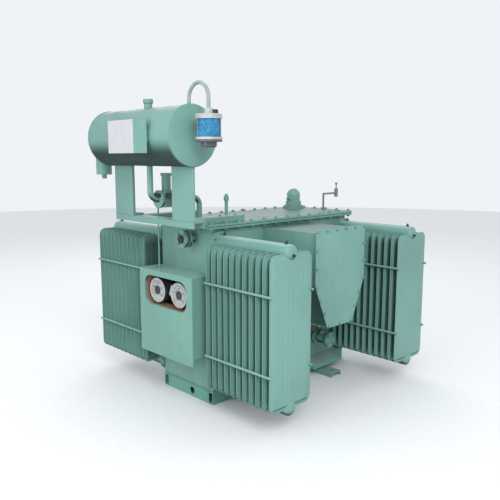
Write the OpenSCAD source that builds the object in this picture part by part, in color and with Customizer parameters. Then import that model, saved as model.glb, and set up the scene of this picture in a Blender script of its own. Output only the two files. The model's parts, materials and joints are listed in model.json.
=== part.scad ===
// Oil-filled earthing transformer on a channel base, with four pressed-steel radiators, a conservator
// on cantilevered posts at one end, a gauge box under it and a cable box on the long side.
// Origin: floor level, under the middle of the tank. +X runs along the tank away from the conservator.

/* [Tank] */
// Length of the tank outside its walls
tank_l = 1250; // [1000:10:1500]
// Width of the tank outside its walls
tank_w = 490; // [400:10:700]
// Height of the tank walls above the bottom plate
tank_h = 1001; // [960:1:1200]
// Thickness of the tank walls
tank_wall = 6; // [4:1:12]
// Thickness of the bottom plate
bottom_t = 10; // [6:1:16]
// Width of the bolting rim outside the walls
rim_w = 34; // [28:1:60]
// Thickness of the bolting rim
rim_t = 14; // [8:1:16]
// Thickness of the cover plate
cover_t = 14; // [8:1:16]

/* [Base] */
// Height of the base channels
channel_h = 75; // [60:1:120]
// Flange width of the base channels
channel_w = 40; // [30:1:60]
// Steel thickness of the base channels
channel_t = 6; // [5:1:10]
// How far the base stands out past each end wall
base_lip = 4; // [0:1:30]
// Diameter of the pulling holes in the end channels
pull_d = 44; // [30:1:46]
// Distance of the pulling holes from the middle plane
pull_y = 45; // [30:1:120]
// Distance of the feet from the middle of the tank, along its length
foot_x = 295; // [240:1:330]
// Reach of a foot past the side wall
foot_reach = 210; // [150:1:230]
// Width of a foot
foot_w = 100; // [80:1:140]
// Height of a foot
foot_h = 30; // [24:1:40]
// Steel thickness of a foot
foot_t = 8; // [6:1:12]
// Diameter of the foundation bolt holes
bolt_d = 22; // [14:1:30]
// Distance of a foundation bolt hole from the end of its foot
bolt_inset = 45; // [30:1:60]
// Outside diameter of the bolt sleeves under the feet
sleeve_d = 40; // [34:1:60]
// Distance of the jacking pads from the middle of the tank
jack_x = 330; // [300:1:350]
// Reach of a jacking pad past the side wall
jack_reach = 108; // [60:1:120]
// Width of a jacking pad
jack_w = 290; // [60:1:300]
// Height of a jacking pad's underside above the floor
jack_z = 46; // [42:1:60]
// Thickness of a jacking pad at its outer edge
jack_edge = 29; // [20:1:34]
// Thickness of a jacking pad at the wall
jack_root = 54; // [36:1:60]

/* [Radiators] */
// Number of panels in a radiator
fin_count = 11; // [6:1:12]
// Distance between neighbouring panels
fin_pitch = 50; // [40:1:60]
// Width of a panel
fin_w = 320; // [280:1:340]
// Height of a panel
fin_h = 842; // [700:1:850]
// Height of the panels' lower edge above the floor
fin_z = 150; // [140:1:160]
// Thickness of a panel over its flutes
fin_t = 15; // [12:1:20]
// Thickness of the welded seam round a panel
seam_t = 4; // [3:1:5]
// Width of the welded seam round a panel
seam_w = 12; // [8:1:16]
// Radius of a panel's corners
fin_r = 44; // [30:1:60]
// Number of flutes across a panel
flute_count = 7; // [4:1:9]
// Gap between the side wall and the first panel
fin_gap = 79; // [70:1:140]
// Distance of the radiator headers from the end wall
header_inset = 46; // [46:1:80]
// Outside diameter of the radiator headers
header_d = 90; // [76:1:92]
// Diameter of the flanges that join the headers to the tank
flange_d = 122; // [110:1:124]
// Thickness of one header flange
flange_t = 14; // [10:1:18]
// Diameter of the brace bars across the panels
brace_d = 15; // [10:1:20]
// Height of the lower brace bars above the panels' lower edge
brace_low = 204; // [150:1:260]
// Height of the upper brace bars above the panels' lower edge
brace_high = 629; // [560:1:680]

/* [Conservator] */
// Outside diameter of the conservator
cons_d = 320; // [260:1:360]
// Length of the conservator between its end plates
cons_l = 784; // [740:1:900]
// Wall thickness of the conservator
cons_wall = 5; // [3:1:8]
// Thickness of an end plate at its rim
cons_end_t = 8; // [6:1:14]
// Height of the dish in an end plate
cons_dish = 14; // [8:1:30]
// Distance of the conservator's axis from the tank's end wall
cons_out = 250; // [235:1:300]
// Height of the conservator's axis above the cover
cons_rise = 491; // [470:1:560]
// Diameter of the filler neck
filler_d = 46; // [36:1:60]
// Height of the filler neck above the conservator
filler_h = 50; // [35:1:70]
// Width of the label plate
label_w = 374; // [300:1:420]
// Height of the label plate
label_h = 178; // [140:1:200]
// Gap between the label plate and the conservator
label_gap = 14; // [8:1:24]
// Distance of the label plate's middle from the middle plane
label_y = 47; // [0:1:80]
// Distance of the drain pot's axis from the end plate
drain_pot_out = 100; // [80:1:120]
// Diameter of the drain pot
drain_pot_d = 96; // [70:1:110]
// Height of the drain pot
drain_pot_h = 112; // [90:1:130]
// Diameter of the pipe between the end plate and the drain pot
drain_pipe_d = 50; // [40:1:60]

/* [Conservator supports] */
// Width of a post
post_w = 192; // [160:1:220]
// Depth of a post
post_d = 75; // [60:1:90]
// Distance of a post's front face behind the conservator's axis
post_back_set = 7; // [0:1:20]
// Steel thickness of a post
post_t = 8; // [6:1:12]
// Distance of a post's middle from the end of the conservator's shell
post_y = 102; // [98:1:150]
// Height of the cross beam and arms
beam_h = 36; // [30:1:50]
// Steel thickness of the cross beam and arms
beam_t = 6; // [5:1:8]
// Width of an arm
arm_w = 80; // [60:1:100]
// Distance of an arm from the middle plane
arm_y = 204; // [180:1:205]
// How far an arm reaches onto the cover
arm_seat = 260; // [200:1:300]

/* [Oil pipe and gas relay] */
// Outside diameter of the oil pipe
pipe_d = 34; // [26:1:42]
// Height of the oil pipe's level run above the cover
pipe_rise = 140; // [120:1:170]
// Bend radius of the oil pipe
pipe_bend = 48; // [40:1:60]
// Straight run of the oil pipe between its bend and the gas relay
relay_gap = 4; // [2:1:40]
// Distance of the oil pipe's foot from the end wall
inlet_in = 107; // [100:1:160]
// Length of the gas relay between its flanges
relay_l = 120; // [100:1:130]
// Width and height of the gas relay's body
relay_w = 92; // [80:1:110]
// Diameter of the gas relay's flanges
relay_flange = 104; // [96:1:120]
// Diameter of the riser on the gas relay
riser_d = 54; // [40:1:60]
// Height of the riser above the relay body
riser_h = 88; // [70:1:180]

/* [Breather] */
// Diameter of the breather glass
glass_d = 126; // [100:1:130]
// Height of the breather glass
glass_h = 114; // [90:1:140]
// Height of the cap's neck and of the cup
breather_neck = 28; // [20:1:40]
// Thickness of the breather's end discs
breather_disc = 12; // [8:1:16]
// Wall thickness of the breather glass
glass_wall = 5; // [3:1:8]
// Distance of the breather's axis from the end plate
breather_out = 125; // [86:1:140]
// Height of the breather glass's middle above the conservator's axis
breather_rise = 35; // [10:1:50]
// Diameter of the breather pipe
vent_d = 20; // [16:1:25]
// Height of the breather pipe's loop above the conservator
vent_h = 25; // [20:1:60]
// Distance of the breather pipe's root from the end plate
vent_in = 24; // [16:1:70]

/* [Gauge box] */
// Width of the gauge box
box_w = 522; // [440:1:526]
// Height of the gauge box
box_h = 526; // [460:1:560]
// Depth of the gauge box
box_d = 165; // [150:1:200]
// Height of the gauge box's bottom above the floor
box_z = 277; // [260:1:300]
// Plate thickness of the gauge box
box_t = 3; // [2:0.5:5]
// Thickness of the gauge box door
door_t = 16; // [10:1:20]
// Height of the case's bottom above the door's bottom edge
case_lift = 48; // [0:1:60]
// Gap between the door and the gauges
gauge_gap = 10; // [6:1:30]
// Width of the window
window_w = 416; // [360:1:420]
// Height of the window
window_h = 182; // [170:1:200]
// Corner radius of the window
window_r = 62; // [40:1:80]
// Height of the window's middle above the box's bottom
window_z = 400; // [380:1:410]
// Diameter of a gauge
gauge_d = 152; // [130:1:165]
// Depth of a gauge
gauge_h = 62; // [50:1:80]
// Distance between the two gauges' middles
gauge_step = 214; // [180:1:220]

/* [Cable box] */
// Width of the cable box
cable_w = 424; // [400:1:520]
// Width of the cable box's lower end
cable_low_w = 196; // [180:1:300]
// Distance of the cable box's cover from the tank's side wall
cable_out = 457; // [380:1:480]
// Height of the cable box's lower end above the floor
cable_z = 472; // [400:1:480]
// Height of the tapered part
cable_taper_h = 264; // [220:1:330]
// Height of the straight part
cable_box_h = 312; // [270:1:316]
// Thickness of the front cover
cable_cover_t = 8; // [6:1:12]
// Width of the front cover's rim outside the box
cable_rim = 22; // [15:1:30]
// Thickness of the gland plate
gland_plate_t = 10; // [6:1:14]
// Outside diameter of the cable gland
gland_d = 92; // [80:1:110]
// Bore of the cable gland
gland_bore = 62; // [50:1:70]
// Length of the cable gland
gland_h = 70; // [50:1:90]

/* [Fittings] */
// Diameter of the pressure relief device
relief_d = 116; // [90:1:130]
// Height of the pressure relief device
relief_h = 148; // [110:1:160]
// Distance of the pressure relief device from the cover's far end
relief_in = 138; // [120:1:260]
// Diameter of the pressure relief device's flange
relief_flange = 156; // [140:1:176]
// Distance of that flange from the side wall's outer face
relief_edge = 8; // [6:1:60]
// Distance of the sampling tap from the cover's far end
tap_in = 28; // [20:1:60]
// Distance of the sampling tap from the middle plane
tap_y = 40; // [0:1:80]
// Height of the sampling tap's pipe
tap_h = 112; // [90:1:140]
// Reach of the sampling tap's arm
tap_reach = 150; // [120:1:170]
// Diameter of the sampling tap's pipe
tap_d = 14; // [10:1:18]
// Height of the thermometer pocket
pocket_h = 148; // [120:1:170]
// Diameter of the thermometer pocket
pocket_d = 22; // [16:1:30]
// Distance of the thermometer pocket from the end wall
pocket_in = 330; // [300:1:360]
// Nominal pipe diameter of the oil valves
valve_d = 50; // [40:1:60]
// Flange diameter of the oil valves
valve_flange = 104; // [96:1:116]
// Length of the upper filter valve
filter_l = 92; // [80:1:110]
// Distance of the filter valve from the middle plane
filter_y = 75; // [40:1:110]
// Depth of the filter valve's axis below the cover
filter_drop = 83; // [76:1:110]
// Length of the drain valve
drain_l = 150; // [120:1:170]
// Distance of the drain valve from the middle of the tank
drain_x = 300; // [290:1:320]
// Height of the drain valve above the floor
drain_z = 243; // [200:1:260]

/* [Hidden] */
$fn = 48;
seat = 0.3;
paint = "#6fae9b";
paint_dark = "#4c8f7c";
steel = "#8c9491";
side_y = tank_w / 2;
end_x = tank_l / 2;
floor_z = channel_h + bottom_t;
relief_y = side_y - relief_flange / 2 - relief_edge;
rim_z = floor_z + tank_h;
cover_z = rim_z + cover_t;
inner_w = tank_w - 2 * tank_wall;
foot_end = side_y + foot_reach;
cons_x = -end_x - cons_out;
cons_z = cover_z + cons_rise;
cons_r = cons_d / 2;
beam_z = cover_z + beam_h;
post_front = cons_x + post_back_set;
post_back = post_front + post_d;
post_mid = cons_l / 2 - post_y;
beam_l = 2 * post_mid + post_w;
pipe_z = cover_z + pipe_rise;
relay_x = cons_x + pipe_bend + relay_gap;
vent_y = -cons_l / 2 - cons_end_t - breather_out;
vent_root = -cons_l / 2 + vent_in;
vent_r = (vent_root - vent_y) / 2;
vent_top = cons_z + cons_r + vent_h;
glass_z = cons_z + breather_rise - glass_h / 2;
box_x = -end_x - box_d;
window_mid = box_z + window_z;
gauge_back = -end_x - box_t;
gauge_front = box_x + door_t + gauge_gap;
cable_y = -side_y - cable_out;
cable_top = cable_z + cable_taper_h + cable_box_h;
fin_x = end_x - header_inset;
fin_first = side_y + fin_gap;
fin_last = fin_first + (fin_count - 1) * fin_pitch;
fin_inner_w = fin_w - 2 * seam_w;
flute_p = fin_inner_w / flute_count;
valley_t = fin_t * 0.5;

// Points of a rectangle with round corners, centred on the origin.
function round_rect(w, h, r, steps = 6) = [for (c = [0:3]) for (s = [0:steps])
    let (a = 90 * (c + s / steps), sx = (c == 0 || c == 3) ? 1 : -1, sy = c < 2 ? 1 : -1)
    [sx * (w / 2 - r) + r * cos(a), sy * (h / 2 - r) + r * sin(a)]];

// A block given by its lowest and highest corners.
module block(low, high) {
    translate(low) cube(high - low);
}

// A straight tube or rod between two heights.
module rod(d, low, high) {
    translate([0, 0, low]) cylinder(d = d, h = high - low);
}

// A quarter bend of round pipe: it starts on the X axis at radius r and turns towards Y.
module quarter_bend(d, r) {
    rotate_extrude(angle = 90) translate([r, 0]) circle(d = d);
}

// A channel lying along X with its back at y = 0 and its toes towards +y.
module channel(len, h, w, t) {
    translate([-len / 2, 0, 0]) rotate([90, 0, 90]) linear_extrude(len)
        polygon([[0, 0], [w, 0], [w, t], [t, t], [t, h - t], [w, h - t], [w, h], [0, h]]);
}

// A channel lying along X with its toes down, centred on y = 0.
module trough(len, w, h, t) {
    translate([-len / 2, 0, 0]) rotate([90, 0, 90]) linear_extrude(len)
        polygon([[-w / 2, 0], [t - w / 2, 0], [t - w / 2, h - t], [w / 2 - t, h - t],
            [w / 2 - t, 0], [w / 2, 0], [w / 2, h], [-w / 2, h]]);
}

module base_runner() {
    color(paint_dark) translate([0, -side_y, 0]) channel(tank_l + 2 * base_lip, channel_h, channel_w, channel_t);
}

module base_end() {
    color(paint_dark) difference() {
        translate([-end_x - base_lip, 0, 0]) rotate([0, 0, -90])
            channel(tank_w - 2 * channel_w, channel_h, channel_w, channel_t);
        translate([-end_x - base_lip - 1, -pull_y, channel_h / 2])
            rotate([0, 90, 0]) cylinder(d = pull_d, h = channel_t + 2);
    }
}

// A channel with its toes down, and a sleeve inside it that takes the foundation bolt's pull to the floor.
module foot() {
    color(paint_dark) difference() {
        union() {
            translate([-foot_x, -(side_y + foot_end) / 2, 0]) rotate([0, 0, 90])
                trough(foot_reach, foot_w, foot_h, foot_t);
            translate([-foot_x, bolt_inset - foot_end, 0]) rod(sleeve_d, 0, foot_h - foot_t);
        }
        translate([-foot_x, bolt_inset - foot_end, 0]) rod(bolt_d, -1, foot_h + 1);
    }
}

// A ledge with a sloping top, welded along the runner for lifting jacks.
module jack() {
    color(paint_dark) translate([-jack_x - jack_w / 2, -side_y, jack_z]) rotate([90, 0, 90]) linear_extrude(jack_w)
        polygon([[0, 0], [-jack_reach, 0], [-jack_reach, jack_edge], [0, jack_root]]);
}

module tank_bottom() {
    color(paint) block([-end_x, -side_y, channel_h], [end_x, side_y, floor_z]);
}

module side_wall() {
    color(paint) {
        block([-end_x, -side_y, floor_z], [end_x, tank_wall - side_y, rim_z]);
        block([-end_x - rim_w, -side_y - rim_w, rim_z - rim_t], [end_x + rim_w, -side_y, rim_z]);
    }
}

module end_wall() {
    color(paint) {
        block([-end_x, -inner_w / 2, floor_z], [tank_wall - end_x, inner_w / 2, rim_z]);
        block([-end_x - rim_w, -side_y, rim_z - rim_t], [-end_x, side_y, rim_z]);
    }
}

module tank_cover() {
    color(paint) block([-end_x - rim_w, -side_y - rim_w, rim_z], [end_x + rim_w, side_y + rim_w, cover_z]);
}

// Half of a panel's fluted section: a row of flat-topped waves.
function flute_side(s) = [for (i = [0:flute_count - 1]) for (k = [[0.12, valley_t], [0.3, fin_t], [0.7, fin_t],
    [0.88, valley_t]]) [(i + k[0]) * flute_p - fin_inner_w / 2, s * k[1] / 2]];

// One pressed panel: the fluted core inside its welded seam.
module panel() {
    front = flute_side(-1);
    rear = flute_side(1);
    rotate([90, 0, 0]) linear_extrude(seam_t, center = true) polygon(round_rect(fin_w, fin_h, fin_r));
    linear_extrude(fin_h - 2 * fin_r, center = true)
        polygon(concat(front, [for (i = [len(rear) - 1:-1:0]) rear[i]]));
}

// The radiator at the front left corner; the others are its mirror images.
module radiator() {
    color(paint) translate([-fin_x, 0, 0]) {
        for (i = [0:fin_count - 1]) translate([0, -fin_first - i * fin_pitch, fin_z + fin_h / 2]) panel();
        for (z = [fin_z, fin_z + fin_h]) translate([0, 0, z]) rotate([90, 0, 0]) {
            rod(header_d, side_y, fin_last + fin_t);
            rod(flange_d, side_y + fin_gap / 2 - flange_t, side_y + fin_gap / 2 + flange_t);
        }
        for (z = [brace_low, brace_high]) for (side = [-1, 1]) translate([side * fin_w / 2, 0, fin_z + z])
            rotate([90, 0, 0]) rod(brace_d, fin_first - fin_t / 2, fin_last + fin_t / 2);
    }
}

module conservator_shell() {
    color(paint) translate([cons_x, 0, cons_z]) rotate([90, 0, 0]) difference() {
        cylinder(d = cons_d, h = cons_l, center = true);
        cylinder(d = cons_d - 2 * cons_wall, h = cons_l + 2, center = true);
    }
}

// A round end plate with a shallow dish, facing -Y.
module conservator_end() {
    dish_r = (pow(cons_r, 2) + pow(cons_dish, 2)) / (2 * cons_dish);
    steps = 8;
    arc = [for (s = [0:steps]) let (r = cons_r * (1 - s / steps))
        [r, cons_end_t + cons_dish - dish_r + sqrt(pow(dish_r, 2) - pow(r, 2))]];
    color(paint) translate([cons_x, -cons_l / 2, cons_z]) rotate([90, 0, 0])
        rotate_extrude($fn = 96) polygon(concat([[0, 0], [cons_r, 0]], arc));
}

module conservator_filler() {
    top = cons_z + cons_r;
    color(paint) translate([cons_x, 0, 0]) {
        difference() {
            rod(filler_d, cons_z + cons_r - filler_d / 4, top + filler_h);
            translate([0, 0, cons_z]) rotate([90, 0, 0]) cylinder(r = cons_r + seat, h = cons_d, center = true);
        }
        rod(filler_d * 1.22, top + filler_h * 0.55, top + filler_h);
    }
}

// A drain pot on a short pipe, low on the far end plate, with its plug.
module conservator_drain() {
    drain_edge = 4;
    drain_top = drain_pipe_d / 2;
    plug_h = drain_pipe_d / 2;
    drop = cons_r - drain_pipe_d / 2 - drain_edge;
    root = cons_l / 2 + cons_end_t;
    color(paint) difference() {
        translate([cons_x, root, cons_z - drop]) {
            rotate([-90, 0, 0]) cylinder(d = drain_pipe_d, h = drain_pot_out);
            translate([0, drain_pot_out, 0]) {
                rod(drain_pot_d, drain_top - drain_pot_h, drain_top);
                rod(drain_pipe_d * 0.6, drain_top - drain_pot_h - plug_h, drain_top - drain_pot_h);
            }
        }
        translate([0, seat, 0]) mirror([0, 1, 0]) conservator_end();
    }
}

// A flat plate held in front of the conservator on two bent strips.
module label_plate() {
    plate_t = 3;
    strip = 30;
    front = cons_x - cons_r - label_gap;
    color("white") difference() {
        union() {
            block([front - plate_t, -label_y - label_w / 2, cons_z - label_h / 2],
                [front, label_w / 2 - label_y, cons_z + label_h / 2]);
            for (side = [-1, 1]) translate([0, side * (label_w / 2 - strip) - label_y, 0])
                block([front, -strip / 2, cons_z - strip], [cons_x - cons_r * 0.9, strip / 2, cons_z + strip]);
        }
        translate([cons_x, 0, cons_z]) rotate([90, 0, 0]) cylinder(r = cons_r + seat, h = cons_l, center = true);
    }
}

// A wide channel post: its web faces the end of the plant, and its top is cut to the conservator.
module post() {
    color(paint) difference() {
        translate([0, -post_mid, beam_z]) linear_extrude(cons_z - cons_r * 0.8 - beam_z)
            polygon([[post_front, -post_w / 2], [post_back, -post_w / 2], [post_back, post_t - post_w / 2],
                [post_front + post_t, post_t - post_w / 2], [post_front + post_t, post_w / 2 - post_t],
                [post_back, post_w / 2 - post_t], [post_back, post_w / 2], [post_front, post_w / 2]]);
        translate([cons_x, 0, cons_z]) rotate([90, 0, 0]) cylinder(r = cons_r + seat, h = beam_l, center = true);
    }
}

module cross_beam() {
    color(paint) translate([(post_front + post_back) / 2, 0, cover_z]) rotate([0, 0, 90])
        trough(beam_l, post_d, beam_h, beam_t);
}

module arm() {
    arm_end = arm_seat - end_x;
    color(paint) translate([(post_back + arm_end) / 2, -arm_y, cover_z])
        trough(arm_end - post_back, arm_w, beam_h, beam_t);
}

// The pipe from the conservator's underside, bending level towards the relay.
module oil_pipe_drop() {
    color(paint) difference() {
        union() {
            translate([cons_x, 0, 0]) rod(pipe_d, pipe_z + pipe_bend, cons_z - cons_r * 0.9);
            translate([cons_x + pipe_bend, 0, pipe_z + pipe_bend]) rotate([90, 0, 0]) rotate([0, 0, 180])
                quarter_bend(pipe_d, pipe_bend);
            translate([cons_x + pipe_bend, 0, pipe_z]) rotate([0, 90, 0])
                rod(pipe_d, 0, relay_x - cons_x - pipe_bend);
        }
        translate([cons_x, 0, cons_z]) rotate([90, 0, 0]) cylinder(r = cons_r + seat, h = cons_d, center = true);
    }
}

// The gas relay: a square body between two flanges, with a capped riser.
module gas_relay() {
    relay_flange_t = 14;
    color(paint_dark) translate([relay_x, 0, pipe_z]) {
        block([relay_flange_t, -relay_w / 2, -relay_w / 2], [relay_l - relay_flange_t, relay_w / 2, relay_w / 2]);
        rotate([0, 90, 0]) rod(relay_flange, 0, relay_flange_t);
        rotate([0, 90, 0]) rod(relay_flange, relay_l - relay_flange_t, relay_l);
        translate([relay_l / 2, 0, 0]) rod(riser_d, relay_w / 2, relay_w / 2 + riser_h);
        translate([relay_l / 2, 0, 0]) rod(riser_d * 1.2, relay_w / 2 + riser_h, relay_w / 2 + riser_h + 16);
    }
}

// The pipe from the relay onto the cover.
module oil_pipe_inlet() {
    run = inlet_in - end_x - pipe_bend - relay_x - relay_l;
    foot_flange_t = 12;
    color(paint) translate([relay_x + relay_l, 0, 0]) {
        translate([0, 0, pipe_z]) rotate([0, 90, 0]) rod(pipe_d, 0, run);
        translate([run, 0, pipe_z - pipe_bend]) rotate([90, 0, 0]) quarter_bend(pipe_d, pipe_bend);
        translate([run + pipe_bend, 0, 0]) rod(pipe_d, cover_z, pipe_z - pipe_bend);
        translate([run + pipe_bend, 0, 0]) rod(pipe_d * 2.2, cover_z, cover_z + foot_flange_t);
    }
}

// The vent pipe: up from the conservator, over in a half turn and down to the breather.
module breather_pipe() {
    color(paint) translate([cons_x, 0, 0]) difference() {
        union() {
            translate([0, vent_root, 0]) rod(vent_d, cons_z + cons_r * 0.9, vent_top);
            translate([0, vent_y, 0]) rod(vent_d, glass_z + glass_h + breather_disc + breather_neck, vent_top);
            translate([0, (vent_root + vent_y) / 2, vent_top]) rotate([90, 0, 90])
                rotate_extrude(angle = 180) translate([vent_r, 0]) circle(d = vent_d);
        }
        translate([0, 0, cons_z]) rotate([90, 0, 0]) cylinder(r = cons_r + seat, h = cons_l, center = true);
    }
}

module breather_cap() {
    color("silver") translate([cons_x, vent_y, glass_z + glass_h]) {
        rod(glass_d + 2 * glass_wall, 0, breather_disc);
        rod(glass_d * 0.55, breather_disc, breather_disc + breather_neck);
    }
}

module breather_glass() {
    color("lightblue", 0.5) translate([cons_x, vent_y, glass_z]) difference() {
        cylinder(d = glass_d, h = glass_h);
        translate([0, 0, -1]) cylinder(d = glass_d - 2 * glass_wall, h = glass_h + 2);
    }
}

module breather_gel() {
    color("#2f86c4") translate([cons_x, vent_y, glass_z])
        rod(glass_d - 2 * glass_wall - 2 * seat, 0, glass_h * 0.9);
}

module breather_cup() {
    color("dimgray") translate([cons_x, vent_y, glass_z]) {
        rod(glass_d + 2 * glass_wall, -breather_disc, 0);
        rod(glass_d * 0.68, -breather_disc - breather_neck, -breather_disc);
    }
}

// An open-fronted steel case fixed to the tank's end wall.
module gauge_box_case() {
    color(paint) difference() {
        block([box_x + door_t, -box_w / 2, box_z + case_lift], [-end_x, box_w / 2, box_z + box_h]);
        block([box_x, box_t - box_w / 2, box_z + case_lift + box_t],
            [-end_x - box_t, box_w / 2 - box_t, box_z + box_h - box_t]);
    }
}

module gauge_box_door() {
    color(paint) difference() {
        block([box_x, -box_w / 2, box_z], [box_x + door_t, box_w / 2, box_z + box_h]);
        translate([box_x - 1, 0, window_mid]) rotate([90, 0, 90]) linear_extrude(door_t + 2)
            polygon(round_rect(window_w, window_h, window_r));
    }
}

// A round dial gauge with a raised bezel, on a stem to the back of the case.
module gauge() {
    bezel_h = 18;
    dial_in = 6;
    color("silver") translate([0, -gauge_step / 2, window_mid]) rotate([0, 90, 0]) {
        difference() {
            rod(gauge_d, gauge_front, gauge_front + gauge_h);
            rod(gauge_d - 2 * bezel_h, gauge_front - 1, gauge_front + dial_in);
        }
        rod(gauge_d * 0.4, gauge_front + gauge_h, gauge_back);
    }
}

// The cable box: straight sides over a taper that narrows to the gland plate.
module cable_outline(grow) {
    half = cable_w / 2 + grow;
    low = cable_low_w / 2 + grow;
    polygon([[-low, cable_z], [low, cable_z], [half, cable_z + cable_taper_h], [half, cable_top + grow],
        [-half, cable_top + grow], [-half, cable_z + cable_taper_h]]);
}

module cable_box() {
    color(paint) translate([0, -side_y, 0]) rotate([90, 0, 0]) linear_extrude(cable_out - cable_cover_t)
        cable_outline(0);
}

module cable_box_cover() {
    color(paint) translate([0, cable_y + cable_cover_t, 0]) rotate([90, 0, 0]) linear_extrude(cable_cover_t)
        cable_outline(cable_rim);
}

module gland_plate() {
    color(paint) translate([0, (cable_y + cable_cover_t - side_y) / 2, 0]) difference() {
        block([-cable_low_w / 2, -cable_out / 3, cable_z - gland_plate_t], [cable_low_w / 2, cable_out / 3, cable_z]);
        rod(gland_bore, cable_z - gland_plate_t - 1, cable_z + 1);
    }
}

module cable_gland() {
    top = cable_z - gland_plate_t;
    color("#b08d4a") translate([0, (cable_y + cable_cover_t - side_y) / 2, 0]) difference() {
        union() {
            rod(gland_d * 0.86, top - gland_h, top);
            rod(gland_d, top - gland_h * 0.45, top);
        }
        rod(gland_bore, top - gland_h - 1, top + 1);
    }
}

// A flanged relief device with a domed cap and a side pin.
module relief_device() {
    relief_flange_t = 14;
    dome_h = relief_h * 0.28;
    cap_r = relief_d * 0.42;
    dome_r = (pow(cap_r, 2) + pow(dome_h, 2)) / (2 * dome_h);
    color(paint) translate([end_x - relief_in + rim_w, relief_y, cover_z]) {
        rod(relief_flange, 0, relief_flange_t);
        rod(relief_d, relief_flange_t, relief_h * 0.36);
        rod(2 * cap_r, relief_h * 0.36, relief_h - dome_h);
        translate([0, 0, relief_h - dome_h]) intersection() {
            translate([0, 0, dome_h - dome_r]) sphere(r = dome_r);
            cylinder(r = cap_r, h = dome_h + 1);
        }
        translate([-relief_d * 0.4, 0, relief_h * 0.5]) rotate([0, -90, 0]) cylinder(d = 16, h = relief_d * 0.22);
    }
}

// A thin riser at the far end of the cover with an arm and a small tap.
module sampling_tap() {
    color(steel) translate([end_x + rim_w - tap_in, -tap_y, 0]) {
        rod(tap_d * 2.4, cover_z, cover_z + 12);
        rod(tap_d, cover_z + 12, cover_z + tap_h + tap_d / 2);
        translate([0, 0, cover_z + tap_h]) rotate([0, 90, 0]) rod(tap_d, 0, tap_reach);
        translate([tap_reach, 0, cover_z + tap_h]) rod(tap_d * 2, -tap_d * 2, tap_d * 2.4);
        translate([tap_reach, 0, cover_z + tap_h]) rod(tap_d * 0.6, tap_d * 2.4, tap_d * 4.6);
        translate([tap_reach, 0, cover_z + tap_h]) rod(tap_d * 1.3, tap_d * 4.6, tap_d * 5.6);
    }
}

module thermometer_pocket() {
    color(steel) translate([pocket_in - end_x, 0, cover_z]) {
        rod(pocket_d * 2.2, 0, 14);
        rod(pocket_d, 14, pocket_h);
        rod(pocket_d * 1.5, pocket_h * 0.72, pocket_h * 0.9);
    }
}

// A blanked valve on the end wall, over the gauge box.
module filter_valve() {
    valve_flange_t = 14;
    color(paint) translate([-end_x, -filter_y, rim_z - filter_drop]) rotate([0, -90, 0]) {
        rod(valve_d, 0, filter_l - valve_flange_t);
        rod(valve_flange, filter_l * 0.5, filter_l * 0.5 + valve_flange_t);
        rod(valve_flange, filter_l - valve_flange_t, filter_l);
    }
}

// A gate valve low on the side wall, with its bonnet and a blank flange.
module drain_valve() {
    valve_flange_t = 14;
    color(paint) translate([drain_x, -side_y, drain_z]) rotate([90, 0, 0]) {
        rod(valve_d, 0, drain_l - valve_flange_t);
        rod(valve_flange, 26, 26 + valve_flange_t);
        rod(valve_d * 1.5, drain_l * 0.38, drain_l * 0.72);
        rod(valve_flange, drain_l - valve_flange_t, drain_l);
        translate([0, 0, drain_l * 0.55]) rotate([-90, 0, 0]) {
            rod(valve_d * 0.9, 0, valve_d * 1.1);
            rod(valve_d * 0.4, valve_d * 1.1, valve_d * 1.7);
            rod(valve_d * 1.5, valve_d * 1.7, valve_d * 1.9);
        }
    }
}

base_runner();  // base_runner_front
mirror([0, 1, 0]) base_runner();  // base_runner_rear
base_end();  // base_end_left
mirror([1, 0, 0]) base_end();  // base_end_right
foot();  // foot_front_left
mirror([1, 0, 0]) foot();  // foot_front_right
mirror([0, 1, 0]) foot();  // foot_rear_left
mirror([1, 0, 0]) mirror([0, 1, 0]) foot();  // foot_rear_right
jack();  // jack_front_left
mirror([1, 0, 0]) jack();  // jack_front_right
mirror([0, 1, 0]) jack();  // jack_rear_left
mirror([1, 0, 0]) mirror([0, 1, 0]) jack();  // jack_rear_right
tank_bottom();
side_wall();  // tank_front_wall
mirror([0, 1, 0]) side_wall();  // tank_rear_wall
end_wall();  // tank_left_end
mirror([1, 0, 0]) end_wall();  // tank_right_end
tank_cover();
radiator();  // radiator_front_left
mirror([1, 0, 0]) radiator();  // radiator_front_right
mirror([0, 1, 0]) radiator();  // radiator_rear_left
mirror([1, 0, 0]) mirror([0, 1, 0]) radiator();  // radiator_rear_right
conservator_shell();
conservator_end();  // conservator_end_near
mirror([0, 1, 0]) conservator_end();  // conservator_end_far
conservator_filler();
conservator_drain();
label_plate();
post();  // post_near
mirror([0, 1, 0]) post();  // post_far
cross_beam();
arm();  // arm_near
mirror([0, 1, 0]) arm();  // arm_far
oil_pipe_drop();
gas_relay();
oil_pipe_inlet();
breather_pipe();
breather_cap();
breather_glass();
breather_gel();
breather_cup();
gauge_box_case();
gauge_box_door();
gauge();  // oil_gauge
mirror([0, 1, 0]) gauge();  // winding_gauge
cable_box();
cable_box_cover();
gland_plate();
cable_gland();
relief_device();
sampling_tap();
thermometer_pocket();
filter_valve();
drain_valve();
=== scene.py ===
"""Looks of an oil-filled earthing transformer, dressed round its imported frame."""
import itertools
import json
import math

import bmesh
import bpy
from bpy.props import FloatProperty, FloatVectorProperty, IntProperty, PointerProperty
from mathutils import Matrix, Vector


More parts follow.
